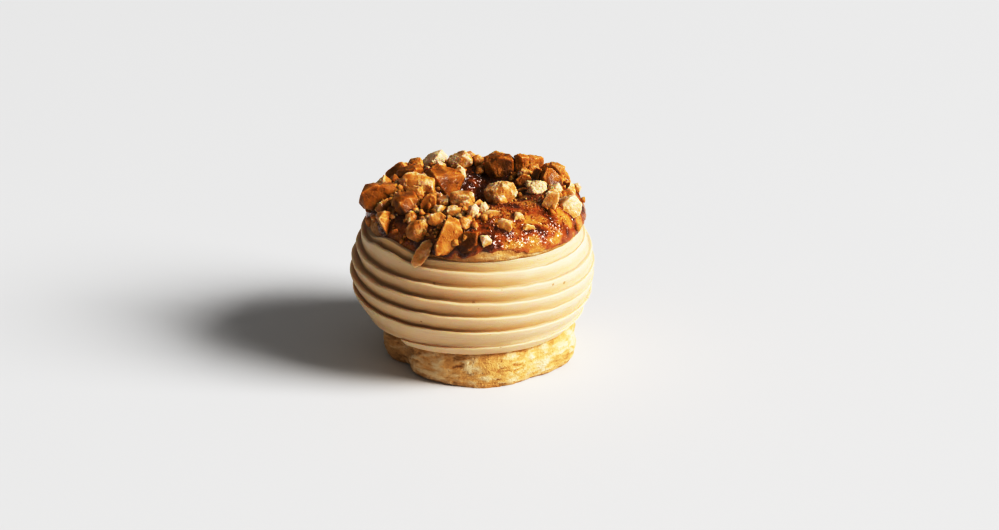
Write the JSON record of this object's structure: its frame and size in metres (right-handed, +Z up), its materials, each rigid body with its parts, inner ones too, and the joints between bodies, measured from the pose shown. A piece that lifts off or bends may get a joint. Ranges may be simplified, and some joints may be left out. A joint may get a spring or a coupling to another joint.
{
  "type": "paris brest pastry",
  "caption": "Ring of choux pastry split in two, with a piped spiral of praline cream between and broken caramelised hazelnuts on the glazed lid",
  "frame": {"origin": "middle of the underside, on the axis of the cream, where the pastry rests", "axes": "+Z up through the hole, -Y towards the front, +X to the right"},
  "size_m": [0.0709, 0.0711, 0.0559],
  "materials": {
    "choux": "baked crust, matte",
    "praline_cream": "piped cream, satin",
    "glazed_lid": "caramel glaze, glossy",
    "hazelnut": "caramelised nut, glossy"
  },
  "bodies": {
    "root": {"choux_base": "choux", "choux_lid": "glazed_lid", "hazelnut_01": "hazelnut", "hazelnut_02": "hazelnut", "hazelnut_03": "hazelnut", "hazelnut_04": "hazelnut", "hazelnut_05": "hazelnut", "hazelnut_06": "hazelnut", "hazelnut_07": "hazelnut", "hazelnut_08": "hazelnut", "hazelnut_09": "hazelnut", "hazelnut_10": "hazelnut", "hazelnut_11": "hazelnut", "hazelnut_12": "hazelnut", "hazelnut_13": "hazelnut", "hazelnut_14": "hazelnut", "hazelnut_15": "hazelnut", "hazelnut_16": "hazelnut", "hazelnut_17": "hazelnut", "hazelnut_18": "hazelnut", "hazelnut_19": "hazelnut", "hazelnut_20": "hazelnut", "hazelnut_21": "hazelnut", "hazelnut_22": "hazelnut", "hazelnut_23": "hazelnut", "hazelnut_24": "hazelnut", "hazelnut_25": "hazelnut", "hazelnut_26": "hazelnut", "hazelnut_27": "hazelnut", "hazelnut_28": "hazelnut", "praline_cream": "praline_cream"}
  },
  "joints": []
}
